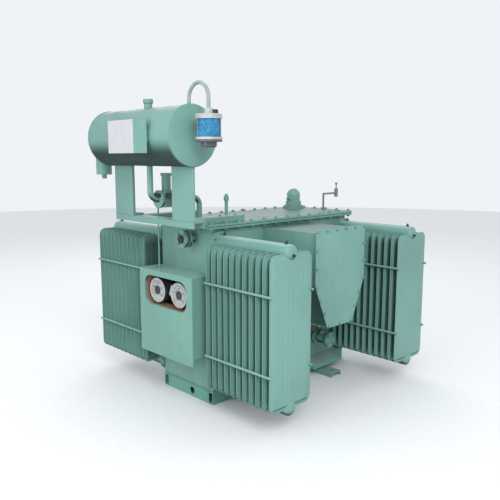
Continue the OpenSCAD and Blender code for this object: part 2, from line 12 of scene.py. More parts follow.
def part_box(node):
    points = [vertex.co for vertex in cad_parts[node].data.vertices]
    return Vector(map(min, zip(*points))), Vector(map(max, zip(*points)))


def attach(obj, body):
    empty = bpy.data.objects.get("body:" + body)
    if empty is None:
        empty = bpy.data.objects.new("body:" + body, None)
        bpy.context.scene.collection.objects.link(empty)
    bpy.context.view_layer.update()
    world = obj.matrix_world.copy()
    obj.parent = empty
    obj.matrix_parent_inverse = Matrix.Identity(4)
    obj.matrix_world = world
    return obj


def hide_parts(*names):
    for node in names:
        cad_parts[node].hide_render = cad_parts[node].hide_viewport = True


bl_info = {
    "name": "Earthing Transformer",
    "version": (1, 0, 0),
    "blender": (4, 5, 0),
    "location": "3D View > Sidebar > Transformer",
    "description": "Paints and details the packed frame of an earthing transformer",
    "category": "Object",
}

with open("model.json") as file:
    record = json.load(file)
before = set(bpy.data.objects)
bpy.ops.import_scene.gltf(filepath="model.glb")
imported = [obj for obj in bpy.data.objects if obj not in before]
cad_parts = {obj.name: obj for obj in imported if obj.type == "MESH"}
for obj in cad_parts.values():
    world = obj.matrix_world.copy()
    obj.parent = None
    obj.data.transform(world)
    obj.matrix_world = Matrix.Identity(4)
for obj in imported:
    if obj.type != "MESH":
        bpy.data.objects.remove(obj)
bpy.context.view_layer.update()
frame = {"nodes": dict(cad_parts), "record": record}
NODES = sorted(frame["nodes"])
SLOT_OF = {row["node"]: row["material_slot"] for row in frame["record"]["subparts"]}
RADIATORS = [node for node in NODES if node.startswith("radiator")]
X, Y, Z = Vector((1, 0, 0)), Vector((0, 1, 0)), Vector((0, 0, 1))
FINISHES = {}
OWN_FINISH = {
    "label_plate": "conservator_paint",
    "thermometer_pocket": "tank_paint",
    "breather_pipe": "pipe_grey",
}
DUST = (0.42, 0.5, 0.47, 1.0)
GRIME = (0.16, 0.15, 0.12, 1.0)
PANEL_END = 0.015  # distance of the last panel's middle from the end of its headers
BRACE_LEVELS = (0.204, 0.629)  # heights of the brace bars above the lower headers
CABLE_KNEE = 0.736  # height above the floor at which the cable box starts to taper
LAMPS = {  # place, size and watts of each soft light
    "key": ((-3.2, -4.9, 4.4), 3.0, 218),
    "fill": ((-5.0, -0.5, 2.2), 3.0, 74),
    "back": ((2.5, 3.5, 4.5), 4.0, 60),
}


# Node trees

class Value:
    """A node's output; arithmetic on it adds Math nodes to its tree."""

    def __init__(self, graph, socket):
        self.graph = graph
        self.socket = socket

    def maths(self, operation, *terms):
        return self.graph.node("ShaderNodeMath", {"operation": operation}, dict(enumerate(terms)))

    def also(self, out):
        return Value(self.graph, self.socket.node.outputs[out])

    def __add__(self, other):
        return self.maths("ADD", self, other)

    def __sub__(self, other):
        return self.maths("SUBTRACT", self, other)

    def __rsub__(self, other):
        return self.maths("SUBTRACT", other, self)

    def __mul__(self, other):
        return self.maths("MULTIPLY", self, other)

    def __neg__(self):
        return self.maths("MULTIPLY", self, -1.0)


class Graph:
    """A node tree, with one method that adds any node and joins its sockets."""

    def __init__(self, tree):
        self.tree = tree

    def feed(self, socket, value):
        if isinstance(value, list):
            for item in value:
                self.feed(socket, item)
        elif isinstance(value, Value):
            self.tree.links.new(value.socket, socket)
        else:
            socket.default_value = value

    def node(self, kind, settings=None, sockets=None, out=0):
        made = self.tree.nodes.new(kind)
        for key, value in (settings or {}).items():
            setattr(made, key, value)
        for key, value in (sockets or {}).items():
            self.feed(made.inputs[key], value)
        return Value(self, made.outputs[out]) if made.outputs else None

    def noise(self, place, scale, detail=4.0):
        return self.node("ShaderNodeTexNoise", {}, {"Vector": place, "Scale": scale, "Detail": detail})

    def stretched(self, place, factors):
        return self.node("ShaderNodeVectorMath", {"operation": "MULTIPLY"}, {0: place, 1: factors})

    def ramp(self, value, low, high):
        sockets = {"Value": value, "From Min": low, "From Max": high}
        return self.node("ShaderNodeMapRange", {"interpolation_type": "SMOOTHSTEP"}, sockets)

    def blend(self, share, first, second):
        return self.node("ShaderNodeMix", {"data_type": "RGBA"}, {0: share, 6: first, 7: second}, out=2)


# Finishes

def shader(name):
    """A material with an empty node tree."""
    made = bpy.data.materials.new(name + "_finish")
    made.use_nodes = True
    made.node_tree.nodes.clear()
    return made, Graph(made.node_tree)


def coat(graph, sockets):
    """The surface of a material: one principled shader with these sockets."""
    shade = graph.node("ShaderNodeBsdfPrincipled", {}, sockets)
    graph.node("ShaderNodeOutputMaterial", {}, {"Surface": shade})


def shaded(colour, factor):
    """A colour made lighter or darker."""
    return tuple(min(1.0, part * factor) for part in colour[:3]) + (1.0,)


def between_panels(graph, place):
    """How deep a point lies between the radiators' panels, from nought at their rims to one: the mask of the
    painted shade between them.
    """
    sizes = bpy.context.scene.transformer_sizes
    low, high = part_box(RADIATORS[0])
    axis = abs(low.x + high.x) / 2
    outer = max(abs(low.y), abs(high.y)) - PANEL_END
    side_from, side_to = 0.016, 0.04
    foot_from, foot_to = 0.05, 0.12
    head_from, head_to = 0.13, 0.066
    face_from, face_to = 0.001, 0.003
    along = graph.node("ShaderNodeSeparateXYZ", {}, {0: place}, out="X")
    off_x = along.maths("ABSOLUTE", along.maths("ABSOLUTE", along) - axis)
    off_y = along.maths("ABSOLUTE", along.also("Y"))
    rim_x = graph.ramp(sizes.panel_width / 2 - off_x, side_from, side_to)
    rim_z = graph.ramp(along.also("Z"), low.z + foot_from, low.z + foot_to)
    top_z = 1.0 - graph.ramp(along.also("Z"), high.z - head_from, high.z - head_to)
    return rim_x * rim_z * top_z * (1.0 - graph.ramp(off_y, outer + face_from, outer + face_to))


def enamel(name, colour, dust=0.1, runs=0.3, edge=0.003, painted_gap_shade=0.0, top=0.8):
    """Brushed enamel: cloudy tone, runs down the walls, dust on top, tops painted lighter or darker, painted
    shade on undersides and between panels, soft edges.
    """
    made, graph = shader(name)
    place = graph.node("ShaderNodeTexCoord", out="Object")
    cloud = graph.noise(place, 1.9, 5.0)
    streak = graph.noise(graph.stretched(place, (17.0, 17.0, 0.9)), 1.0, 4.0)
    grime = graph.noise(place, 9.0, 6.0)
    facing = graph.node("ShaderNodeNewGeometry", out="Normal")
    up = graph.node("ShaderNodeSeparateXYZ", {}, {0: facing}, out="Z")
    upright = 1.0 - graph.ramp(up * up, 0.1, 0.5)
    tone = graph.blend(graph.ramp(cloud, 0.3, 0.7), shaded(colour, 0.9), shaded(colour, 1.08))
    tone = graph.blend(graph.ramp(streak, 0.56, 0.78) * upright * runs, tone, shaded(colour, 0.62))
    tone = graph.blend(graph.ramp(grime, 0.62, 0.75) * 0.16, tone, GRIME)
    settled = graph.ramp(up, 0.6, 0.97) * (graph.ramp(cloud, 0.25, 0.65) * 0.6 + 0.4) * dust
    # Painted light and shade: faces that look up are made lighter or darker by the top factor.
    tone = graph.blend(graph.ramp(up, 0.6, 0.97) * 0.85, tone, shaded(colour, top))
    tone = graph.blend(settled, tone, DUST)
    # Painted shade: faces that look down are darkened nearly to black, and made rougher.
    underside_shade_mask = graph.ramp(-up, 0.05, 0.6)
    tone = graph.blend(underside_shade_mask * 0.94, tone, shaded(colour, 0.1))
    # Painted shade: paint between the radiator panels is darkened nearly to black.
    if painted_gap_shade:
        tone = graph.blend(between_panels(graph, place) * painted_gap_shade, tone, shaded(colour, 0.1))
    rough = graph.ramp(grime, 0.3, 0.8) * 0.16 + 0.3 + settled * 0.3 + underside_shade_mask * 0.45
    round_edge = graph.node("ShaderNodeBevel", {"samples": 4}, {"Radius": edge})
    peel = graph.noise(place, 160.0, 2.0)
    normal = graph.node("ShaderNodeBump", {}, {"Strength": 0.12, "Distance": 0.001, "Height": peel,
                                               "Normal": round_edge})
    coat(graph, {"Base Color": tone, "Roughness": rough, "Normal": normal, "Specular IOR Level": 0.3})
    return made


def plain(name, colour, rough, metal=0.0, mottle=0.12, alpha=1.0, shine=0.5):
    """A material of one colour with a slight mottle."""
    made, graph = shader(name)
    place = graph.node("ShaderNodeTexCoord", out="Object")
    cloud = graph.noise(place, 24.0, 4.0)
    dark, light = shaded(colour, 1.0 - mottle), shaded(colour, 1.0 + mottle)
    tone = graph.blend(graph.ramp(cloud, 0.3, 0.7), dark, light)
    coat(graph, {"Base Color": tone, "Roughness": rough, "Metallic": metal, "Alpha": alpha,
                 "Specular IOR Level": shine})
    return made


def finish(name):
    """The material of this name, made the first time that it is asked for."""
    paint = bpy.context.scene.transformer_paint
    # Each enamel's top value paints faces that look up: below one as painted shade, above one as painted
    # light. The radiators' gap value paints shade between their panels.
    enamels = {
        "tank_paint": {"colour": paint.enamel, "top": 0.4},
        "radiator_paint": {"colour": paint.enamel, "dust": 0.4, "runs": 0.15, "edge": 0.0015, "painted_gap_shade": 0.6,
                           "top": 1.1},
        "base_paint": {"colour": paint.base, "dust": 0.5, "runs": 0.4},
        "conservator_paint": {"colour": shaded(paint.enamel, 0.94), "dust": 0.12, "runs": 0.22, "top": 0.72},
        "box_paint": {"colour": paint.box, "dust": 0.3, "runs": 0.2, "top": 1.3},
        "bolt_paint": {"colour": paint.enamel, "dust": 0.2, "runs": 0.0, "edge": 0.0008},
    }
    others = {
        "label_white": {"colour": paint.label, "rough": 0.35, "mottle": 0.03},
        "cast_alloy": {"colour": (0.38, 0.4, 0.4), "rough": 0.5, "metal": 0.2},
        "dark_cup": {"colour": (0.075, 0.078, 0.085), "rough": 0.3},
        "clear_glass": {"colour": (0.3, 0.5, 0.75), "rough": 0.05, "mottle": 0.0, "alpha": 0.05},
        "blue_gel": {"colour": paint.gel, "rough": 0.75, "mottle": 0.25, "shine": 0.15},
        "gauge_metal": {"colour": (0.03, 0.03, 0.032), "rough": 0.5, "metal": 0.2},
        # Brass darkened nearly to black: painted shade for the dark corner behind the radiator that the gland
        # sits in.
        "gland_brass": {"colour": (0.07, 0.055, 0.03), "rough": 0.5, "metal": 0.6},
        "tap_steel": {"colour": (0.2, 0.21, 0.21), "rough": 0.42, "metal": 0.6},
        "dial_pale": {"colour": (0.33, 0.36, 0.35), "rough": 0.5},
        "dial_ink": {"colour": (0.04, 0.018, 0.03), "rough": 0.5},
        "lining_brown": {"colour": paint.lining, "rough": 0.7},
        # Near-black sheets inside the gauge box: painted shade.
        "painted_shade_black": {"colour": (0.012, 0.013, 0.013), "rough": 0.8},
        "pipe_grey": {"colour": (0.24, 0.31, 0.28), "rough": 0.45},
        "rubber": {"colour": (0.02, 0.022, 0.02), "rough": 0.7},
    }
    if name not in FINISHES:
        FINISHES[name] = enamel(name, **enamels[name]) if name in enamels else plain(name, **others[name])
    return FINISHES[name]


# Shapes

class Shape:
    """Points and faces that can be placed, joined and made a mesh."""

    def __init__(self, points=(), faces=()):
        self.points = [Vector(point) for point in points]
        self.faces = [tuple(face) for face in faces]

    def __add__(self, other):
        step = len(self.points)
        moved = [tuple(index + step for index in face) for face in other.faces]
        return Shape(self.points + other.points, self.faces + moved)

    def placed(self, matrix):
        return Shape([matrix @ point for point in self.points], self.faces)

    def mesh(self, name, sharp=math.radians(35)):
        made = bpy.data.meshes.new(name)
        made.from_pydata(self.points, [], self.faces)
        work = bmesh.new()
        work.from_mesh(made)
        bmesh.ops.remove_doubles(work, verts=work.verts, dist=1e-6)
        bmesh.ops.recalc_face_normals(work, faces=work.faces)
        for face in work.faces:
            face.smooth = True
        for edge in work.edges:
            edge.smooth = edge.is_manifold and edge.calc_face_angle(0.0) < sharp
        work.to_mesh(made)
        work.free()
        return made


def joined(shapes):
    """One shape from several."""
    total = Shape()
    for shape in shapes:
        total = total + shape
    return total


def skin(rings):
    """Faces between neighbouring rings of point numbers; a ring of one number closes to a point."""
    faces = []
    for lower, upper in zip(rings, rings[1:]):
        for step in range(len(lower)):
            following = (step + 1) % len(lower)
            corners = (lower[step], lower[following], upper[following], upper[step])
            face = tuple(dict.fromkeys(corners))
            if len(face) > 2:
                faces.append(face)
    return faces


def lathe(profile, sides=40):
    """A turned shape round Z from (radius, height) points, closed where a radius is nought."""
    points = []
    rings = []
    for radius, height in profile:
        if radius < 1e-7:
            rings.append([len(points)] * sides)
            points.append((0.0, 0.0, height))
            continue
        rings.append(list(range(len(points), len(points) + sides)))
        for step in range(sides):
            angle = 2 * math.pi * step / sides
            points.append((radius * math.cos(angle), radius * math.sin(angle), height))
    return Shape(points, skin(rings))


def arc(radius, height, corner, start, end, steps=6):
    """Points of a round corner in a turned profile, from one angle in degrees to another."""
    angles = [math.radians(start + (end - start) * step / steps) for step in range(steps + 1)]
    return [(radius + corner * math.cos(angle), height + corner * math.sin(angle)) for angle in angles]


def puck(radius, low, high, corner):
    """The profile of a disc with rounded rims."""
    lower = arc(radius - corner, low + corner, corner, -90, 0)
    upper = arc(radius - corner, high - corner, corner, 0, 90)
    return [(0.0, low)] + lower + upper + [(0.0, high)]


def hull(points):
    """The convex shape round some points."""
    work = bmesh.new()
    for point in points:
        work.verts.new(point)
    made = bmesh.ops.convex_hull(work, input=work.verts)
    loose = [item for item in made["geom_interior"] if isinstance(item, bmesh.types.BMVert)]
    bmesh.ops.delete(work, geom=loose, context="VERTS")
    bmesh.ops.dissolve_limit(work, angle_limit=0.002, verts=work.verts, edges=work.edges)
    work.verts.index_update()
    corners = [vert.co.copy() for vert in work.verts]
    faces = [[vert.index for vert in face.verts] for face in work.faces]
    work.free()
    return Shape(corners, faces)


def bar(low, high, corner=0.001):
    """A box with its edges cut back."""
    points = []
    for upper in itertools.product((False, True), repeat=3):
        for flush in range(3):
            point = []
            for axis in range(3):
                cut = 0.0 if axis == flush else corner
                point.append(high[axis] - cut if upper[axis] else low[axis] + cut)
            points.append(point)
    return hull(points)


def turned_to(direction, centre):
    """The placing that turns local Z to a direction and moves the origin to a centre."""
    return Matrix.Translation(centre) @ Vector(direction).to_track_quat("Z", "Y").to_matrix().to_4x4()


def tube(points, radius, sides=14):
    """A round rod through points, with flat ends."""
    points = [Vector(point) for point in points]
    rings = []
    shape_points = []
    across = None
    for index, point in enumerate(points):
        before = points[max(index - 1, 0)]
        after = points[min(index + 1, len(points) - 1)]
        along = (after - before).normalized()
        if across is None:
            across = along.orthogonal().normalized()
        across = (across - along * across.dot(along)).normalized()
        third = along.cross(across)
        rings.append(range(len(shape_points), len(shape_points) + sides))
        for step in range(sides):
            angle = 2 * math.pi * step / sides
            shape_points.append(point + (across * math.cos(angle) + third * math.sin(angle)) * radius)
    return Shape(shape_points, [tuple(rings[0]), tuple(rings[-1])] + skin(rings))


def evaluated(host):
    """The mesh that an object shows; the object itself is taken out."""
    bpy.context.scene.collection.objects.link(host)
    graph = bpy.context.evaluated_depsgraph_get()
    mesh = bpy.data.meshes.new_from_object(host.evaluated_get(graph), depsgraph=graph)
    bpy.data.objects.remove(host)
    return mesh


def lettering(text, height):
    """Flat lettering round the origin as a mesh."""
    curve = bpy.data.curves.new("lettering", "FONT")
    curve.body = text
    curve.size = height
    curve.align_x = "CENTER"
    curve.align_y = "CENTER"
    curve.resolution_u = 3
    curve.extrude = 0.0003
    return evaluated(bpy.data.objects.new("lettering", curve))


def merged(name, material, *meshes):
    """One mesh of one material from several."""
    work = bmesh.new()
    for mesh in meshes:
        work.from_mesh(mesh)
    made = bpy.data.meshes.new(name)
    for face in work.faces:
        face.material_index = 0
    work.to_mesh(made)
    work.free()
    made.materials.append(finish(material))
    return made


def piece(name, material, meshes, replaced=()):
    """A finished piece of the transformer from shapes or meshes."""
    made = [item.mesh(name) if isinstance(item, Shape) else item for item in meshes]
    obj = bpy.data.objects.new(name, merged(name, material, *made))
    bpy.context.scene.collection.objects.link(obj)
    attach(obj, "root")
    if replaced:
        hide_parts(*replaced)
    return obj


def middle(node):
    """The middle of a node's box."""
    low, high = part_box(node)
    return (low + high) / 2


# Geometry trees

def geometry_tree(name, inputs):
    """An empty geometry tree with these named inputs; gives its graph and input values."""
    tree = bpy.data.node_groups.new(name, "GeometryNodeTree")
    tree.interface.new_socket("Geometry", in_out="INPUT", socket_type="NodeSocketGeometry")
    for label, kind in inputs:
        tree.interface.new_socket(label, in_out="INPUT", socket_type=kind)
    tree.interface.new_socket("Material", in_out="INPUT", socket_type="NodeSocketMaterial")
    tree.interface.new_socket("Geometry", in_out="OUTPUT", socket_type="NodeSocketGeometry")
    graph = Graph(tree)
    return graph, graph.node("NodeGroupInput", out="Geometry")


def close_tree(graph, source, geometry):
    """Ends a tree: instances made real and given the material."""
    real = graph.node("GeometryNodeRealizeInstances", {}, {"Geometry": geometry})
    material = source.also("Material")
    painted = graph.node("GeometryNodeSetMaterial", {}, {"Geometry": real, "Material": material})
    graph.node("NodeGroupOutput", {}, {"Geometry": painted})
    return graph.tree


def grown(base, tree, material, sizes):
    """The plain mesh that a tree makes from a base mesh."""
    host = bpy.data.objects.new("host", base)
    modifier = host.modifiers.new("Grow", "NODES")
    modifier.node_group = tree
    names = {item.name: item.identifier for item in tree.interface.items_tree if item.in_out == "INPUT"}
    modifier[names["Material"]] = finish(material)
    for label, value in sizes.items():
        modifier[names[label]] = value
    return evaluated(host)


def row_tree():
    """Copies of one panel in a straight row."""
    graph, source = geometry_tree("Panel Row", [("Count", "NodeSocketInt"), ("Start", "NodeSocketVector"),
                                                ("Step", "NodeSocketVector")])
    line = graph.node("GeometryNodeMeshLine", {"mode": "OFFSET"}, {
        "Count": source.also("Count"), "Start Location": source.also("Start"), "Offset": source.also("Step")})
    copies = graph.node("GeometryNodeInstanceOnPoints", {}, {"Points": line, "Instance": source})
    return close_tree(graph, source, copies)


def bolt_tree():
    """Hexagon bolts on points, each along its point's facing and turned at random."""
    graph, source = geometry_tree("Hexagon Bolts", [("Flats", "NodeSocketFloat"), ("Seed", "NodeSocketInt")])
    flats = source.also("Flats")

    def raised(kind, height, sockets):
        made = graph.node(kind, {}, sockets)
        lift = graph.node("ShaderNodeCombineXYZ", {}, {"Z": flats * height})
        return graph.node("GeometryNodeTransform", {}, {"Geometry": made, "Translation": lift})

    washer = raised("GeometryNodeMeshCylinder", 0.08, {
        "Vertices": 16, "Radius": flats * 0.92, "Depth": flats * 0.16})
    head = raised("GeometryNodeMeshCylinder", 0.41, {
        "Vertices": 6, "Radius": flats * 0.577, "Depth": flats * 0.5})
    crown = raised("GeometryNodeMeshCone", 0.66, {
        "Vertices": 12, "Radius Bottom": flats * 0.48, "Radius Top": flats * 0.4, "Depth": flats * 0.06})
    bolt = graph.node("GeometryNodeJoinGeometry", {}, {0: [washer, head, crown]})
    facing = graph.node("GeometryNodeInputNamedAttribute", {"data_type": "FLOAT_VECTOR"},
                        {"Name": "facing"})
    aligned = graph.node("FunctionNodeAlignRotationToVector", {"axis": "Z"}, {"Vector": facing})
    spin = graph.node("FunctionNodeRandomValue", {"data_type": "FLOAT"},
                      {2: 0.0, 3: math.pi, "Seed": source.also("Seed")}, out=1)
    spun = graph.node("FunctionNodeAxisAngleToRotation", {}, {"Axis": (0.0, 0.0, 1.0), "Angle": spin})
    turned = graph.node("FunctionNodeRotateRotation", {"rotation_space": "LOCAL"},
                        {"Rotation": aligned, "Rotate By": spun})
    copies = graph.node("GeometryNodeInstanceOnPoints", {}, {
        "Points": source, "Instance": bolt, "Rotation": turned})
    return close_tree(graph, source, copies)


def bead_tree():
    """Small balls strewn over a surface."""
    graph, source = geometry_tree("Gel Beads", [("Radius", "NodeSocketFloat"), ("Density", "NodeSocketFloat"),
                                                ("Seed", "NodeSocketInt")])
    strewn = graph.node("GeometryNodeDistributePointsOnFaces", {"distribute_method": "RANDOM"}, {
        "Mesh": source, "Density": source.also("Density"), "Seed": source.also("Seed")})
    ball = graph.node("GeometryNodeMeshIcoSphere", {}, {"Radius": source.also("Radius"), "Subdivisions": 2})
    ball = graph.node("GeometryNodeSetShadeSmooth", {}, {0: ball})
    copies = graph.node("GeometryNodeInstanceOnPoints", {}, {"Points": strewn, "Instance": ball})
    both = graph.node("GeometryNodeJoinGeometry", {}, {0: [source, copies]})
    return close_tree(graph, source, both)


def weld_tree():
    """A rippled weld bead along the edges of a mesh."""
    graph, source = geometry_tree("Weld Bead", [("Radius", "NodeSocketFloat"), ("Ripple", "NodeSocketFloat")])
    path = graph.node("GeometryNodeMeshToCurve", {}, {"Mesh": source})
    path = graph.node("GeometryNodeResampleCurve", {"mode": "LENGTH"}, {
        "Curve": path, "Length": source.also("Ripple")})
    index = graph.node("GeometryNodeInputIndex")
    odd = index.maths("MODULO", index, 2.0)
    circle = graph.node("GeometryNodeCurvePrimitiveCircle", {}, {
        "Resolution": 6, "Radius": source.also("Radius")})
    path = graph.node("GeometryNodeSetCurveRadius", {}, {"Curve": path, "Radius": odd * 0.25 + 0.85})
    bead = graph.node("GeometryNodeCurveToMesh", {}, {
        "Curve": path, "Profile Curve": circle, "Fill Caps": True})
    return close_tree(graph, source, bead)


def tick_tree():
    """Marks round an arc of a dial, pointing at its middle."""
    graph, source = geometry_tree("Dial Marks", [("Count", "NodeSocketInt"), ("Radius", "NodeSocketFloat"),
                                                 ("Length", "NodeSocketFloat"), ("Start", "NodeSocketFloat"),
                                                 ("Sweep", "NodeSocketFloat")])
    ring = graph.node("GeometryNodeCurveArc", {"mode": "RADIUS"}, {
        "Resolution": source.also("Count"), "Radius": source.also("Radius"),
        "Start Angle": source.also("Start"), "Sweep Angle": source.also("Sweep")})
    size = graph.node("ShaderNodeCombineXYZ", {}, {"X": source.also("Length"), "Y": 0.0014, "Z": 0.0006})
    mark = graph.node("GeometryNodeMeshCube", {}, {"Size": size})
    outward = graph.node("GeometryNodeInputPosition")
    aligned = graph.node("FunctionNodeAlignRotationToVector", {"axis": "X"}, {"Vector": outward})
    copies = graph.node("GeometryNodeInstanceOnPoints", {}, {
        "Points": ring, "Instance": mark, "Rotation": aligned})
    return close_tree(graph, source, copies)


def spots(places):
    """A mesh of loose points, each with the way that its bolt faces."""
    mesh = bpy.data.meshes.new("spots")
    mesh.from_pydata([place for place, _ in places], [], [])
    facing = mesh.attributes.new("facing", "FLOAT_VECTOR", "POINT")
    facing.data.foreach_set("vector", [part for _, way in places for part in way])
    return mesh


def ring_of(centre, way, radius, count, turn=0.0):
    """Places evenly round a circle, facing along its axis."""
    placing = turned_to(way, centre)
    angles = [2 * math.pi * (step + turn) / count for step in range(count)]
    spokes = [Vector((radius * math.cos(angle), radius * math.sin(angle), 0.0)) for angle in angles]
    return [(placing @ spoke, Vector(way)) for spoke in spokes]


def line_of(start, end, pitch, way, ends=True):
    """Places at an even pitch from one point to another."""
    start, end = Vector(start), Vector(end)
    count = max(2, round((end - start).length / pitch) + 1)
    steps = range(count) if ends else range(1, count - 1)
    return [(start.lerp(end, step / (count - 1)), Vector(way)) for step in steps]


def path_mesh(*paths):
    """A mesh of edges through each path's points."""
    points = []
    edges = []
    for path in paths:
        edges += [(len(points) + step, len(points) + step + 1) for step in range(len(path) - 1)]
        points += [Vector(point) for point in path]
    mesh = bpy.data.meshes.new("path")
    mesh.from_pydata(points, edges, [])
    return mesh


def hoop(centre, way, radius, sides=48):
    """The points of a closed circle."""
    spun = ring_of(centre, way, radius, sides)
    return [place for place, _ in spun] + [spun[0][0]]


# Sizes and colours that a user would change

def colour_setting(name, description, default):
    """A colour that a user can change."""
    return FloatVectorProperty(
        name=name, description=description, subtype="COLOR", size=4, min=0.0, max=1.0, default=default)


def length_setting(name, description, default):
    """A length that a user can change."""
    return FloatProperty(name=name, description=description, default=default, unit="LENGTH")


class TransformerPaint(bpy.types.PropertyGroup):
    """Colours of the finishes."""

    enamel: colour_setting(
        "Enamel", "Green of the tank, radiators and conservator", (0.15, 0.306, 0.268, 1.0))
    base: colour_setting("Base", "Green of the base channels, feet and ledges", (0.118, 0.3, 0.245, 1.0))
    box: colour_setting("Gauge Box", "Green of the gauge box", (0.142, 0.3, 0.25, 1.0))
    label: colour_setting("Label", "White of the bare label sheet", (0.47, 0.47, 0.5, 1.0))
    gel: colour_setting("Gel", "Blue of the drying gel in the breather", (0.02, 0.19, 0.36, 1.0))
    lining: colour_setting("Lining", "Brown of the lining round the gauge window", (0.28, 0.15, 0.09, 1.0))


class TransformerSizes(bpy.types.PropertyGroup):
    """Sizes of the pressed panels, headers and bolts."""

    panel_count: IntProperty(name="Panels", description="Panels in a radiator", default=11, min=2)
    panel_pitch: length_setting("Panel Pitch", "Distance between panels", 0.05)
    panel_width: length_setting("Panel Width", "Width of a panel", 0.32)
    panel_thick: length_setting("Panel Thickness", "Thickness over the flutes", 0.015)
    panel_corner: length_setting("Panel Corner", "Corner radius of a panel", 0.044)
    seam_width: length_setting("Seam Width", "Width of the welded seam round a panel", 0.012)
    seam_thick: length_setting("Seam Thickness", "Thickness of the welded seam", 0.004)
    flutes: IntProperty(name="Flutes", description="Flutes across a panel", default=7, min=2)
    header: length_setting("Header", "Diameter of a header pipe", 0.09)
    flange: length_setting("Flange", "Diameter of a header flange", 0.122)
    flange_thick: length_setting("Flange Thickness", "Thickness of one header flange", 0.014)
    brace: length_setting("Brace", "Diameter of a brace bar", 0.015)
    cover_pitch: length_setting("Cover Bolt Pitch", "Distance between the cover's bolts", 0.11)
    cover_bolt: length_setting("Cover Bolt", "Width across flats of the cover's bolts", 0.017)
    small_bolt: length_setting("Small Bolt", "Width across flats of the flange bolts", 0.013)


class TransformerStage(bpy.types.PropertyGroup):
    """Camera and light."""

    lens: FloatProperty(name="Lens", description="Focal length in millimetres", default=43.31, unit="CAMERA")
    position: FloatVectorProperty(
        name="Position", description="Place of the camera", size=3, subtype="TRANSLATION",
        default=(-2.855, -2.886, 1.4835))
    pitch: FloatProperty(
        name="Pitch", description="Angle that the camera looks down", unit="ROTATION",
        default=math.radians(8.82))
    yaw: FloatProperty(
        name="Yaw", description="Angle of the view to the right of +Y", unit="ROTATION",
        default=math.radians(43.83))
    sky: FloatVectorProperty(
        name="Sky", description="Colour of the even light", subtype="COLOR", size=4, min=0.0, max=1.0,
        default=(0.93, 0.96, 1.0, 1.0))


# Pieces

class TRANSFORMER_OT_paint(bpy.types.Operator):
    """Give every solid of the frame its finish"""

    bl_idname = "transformer.paint"
    bl_label = "Paint Solids"

    def execute(self, context):
        for node, solid in frame["nodes"].items():
            name = OWN_FINISH.get(node, SLOT_OF[node])
            for slot in solid.material_slots:
                slot.material = finish(name)
            if not solid.material_slots:
                raise RuntimeError(f"{node} has no material slot")
        return {"FINISHED"}


def panel_shape(sizes, height):
    """One pressed panel in the XZ plane: two sheets welded at the rim, with upright flutes."""
    half_w, half_h = sizes.panel_width / 2, height / 2
    corner, seam = sizes.panel_corner, sizes.seam_width
    rise = 0.016
    groove = 0.0016
    end_room = 0.09
    bends = [half_h - corner + corner * math.sin(math.radians(angle)) for angle in range(0, 91, 15)]
    quarters = (0.0, 0.25, 0.5, 0.75)
    slopes = [half_h - seam - rise * share for share in quarters + (1.0,)]
    plain_rows = [half_h - end_room * share for share in (0.75, 1.0, 1.3)] + [half_h * 0.5, half_h * 0.2]
    tops = sorted(set(bends + slopes + plain_rows))
    levels = [-top for top in reversed(tops)] + tops
    fluted = half_w - seam - rise
    columns = [half_w, half_w - seam * 0.5] + [half_w - seam - rise * share for share in quarters]
    steps = sizes.flutes * 6
    columns = columns + [fluted - 2 * fluted * step / steps for step in range(steps // 2)]
    columns = sorted(columns, reverse=True)
    right = [column / half_w for column in reversed(columns)]
    shares = [-column / half_w for column in columns] + [0.0] + right

    def smooth(value):
        value = min(1.0, max(0.0, value))
        return value * value * (3 - 2 * value)

    def half_thick(across, width, level):
        inside = min(width - abs(across), half_h - abs(level))
        full = smooth((inside - seam) / rise)
        wave = 0.5 - 0.5 * math.cos(2 * math.pi * sizes.flutes * (across + fluted) / (2 * fluted))
        fade = smooth((half_h - abs(level) - end_room * 0.6) / (end_room * 0.7))
        dent = groove * (1 - math.sqrt(wave)) * fade
        return sizes.seam_thick / 2 + (sizes.panel_thick - sizes.seam_thick) / 2 * full - dent * full

    front = []
    back = []
    for level in levels:
        over = max(0.0, abs(level) - (half_h - corner))
        width = half_w - corner + math.sqrt(max(0.0, corner * corner - over * over))
        for share in shares:
            depth = half_thick(share * width, width, level)
            front.append((share * width, -depth, level))
            back.append((share * width, depth, level))
    count = len(shares)
    faces = []
    for row in range(len(levels) - 1):
        for column in range(count - 1):
            first = row * count + column
            quad = (first, first + 1, first + count + 1, first + count)
            faces.append(quad)
            faces.append(tuple(index + len(front) for index in reversed(quad)))
    rim = list(range(count)) + [row * count + count - 1 for row in range(1, len(levels))]
    rim += [(len(levels) - 1) * count + column for column in range(count - 2, -1, -1)]
    rim += [row * count for row in range(len(levels) - 2, 0, -1)]
    for first, second in zip(rim, rim[1:] + rim[:1]):
        faces.append((second, first, first + len(front), second + len(front)))
    return Shape(front + back, faces)


def radiator_place(node):
    """A radiator's side of the tank, middle in X, near and far ends in Y, and header heights."""
    low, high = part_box(node)
    side = 1 if low.y + high.y > 0 else -1
    wall, far = sorted((abs(low.y), abs(high.y)))
    half = bpy.context.scene.transformer_sizes.flange / 2
    return side, (low.x + high.x) / 2, wall, far, low.z + half, high.z - half


